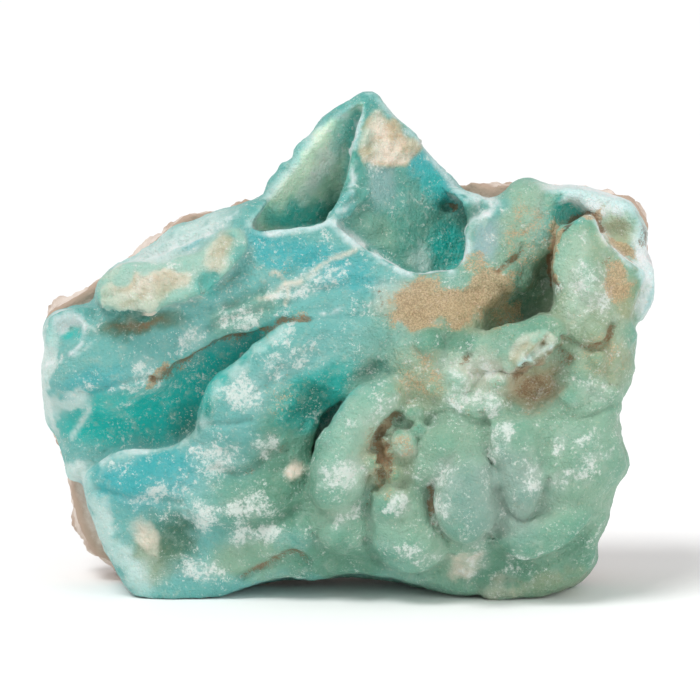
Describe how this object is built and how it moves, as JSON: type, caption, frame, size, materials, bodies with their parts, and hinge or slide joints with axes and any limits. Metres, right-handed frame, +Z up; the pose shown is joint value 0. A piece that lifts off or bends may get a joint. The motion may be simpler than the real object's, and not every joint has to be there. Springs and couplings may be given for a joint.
{
  "type": "aragonite specimen",
  "caption": "Hand specimen of blue-green botryoidal aragonite crust on brown host rock, with a hollow horn at the top and grape-like lobes in front; it stands on its lower edge.",
  "frame": {"origin": "on the table, under the middle of the specimen's bounding box", "axes": "+X to the right along the long side, +Y from the botryoidal face to the back, +Z up"},
  "size_m": [0.1206, 0.056, 0.0986],
  "materials": {
    "aragonite": "translucent waxy turquoise to sea-green, frosted with white crystals on its ridges, with cream patches and ochre powder",
    "matrix": "rough dull brown rock"
  },
  "bodies": {
    "root": {"aragonite_crust": "aragonite", "matrix_rock": "matrix"}
  },
  "joints": []
}
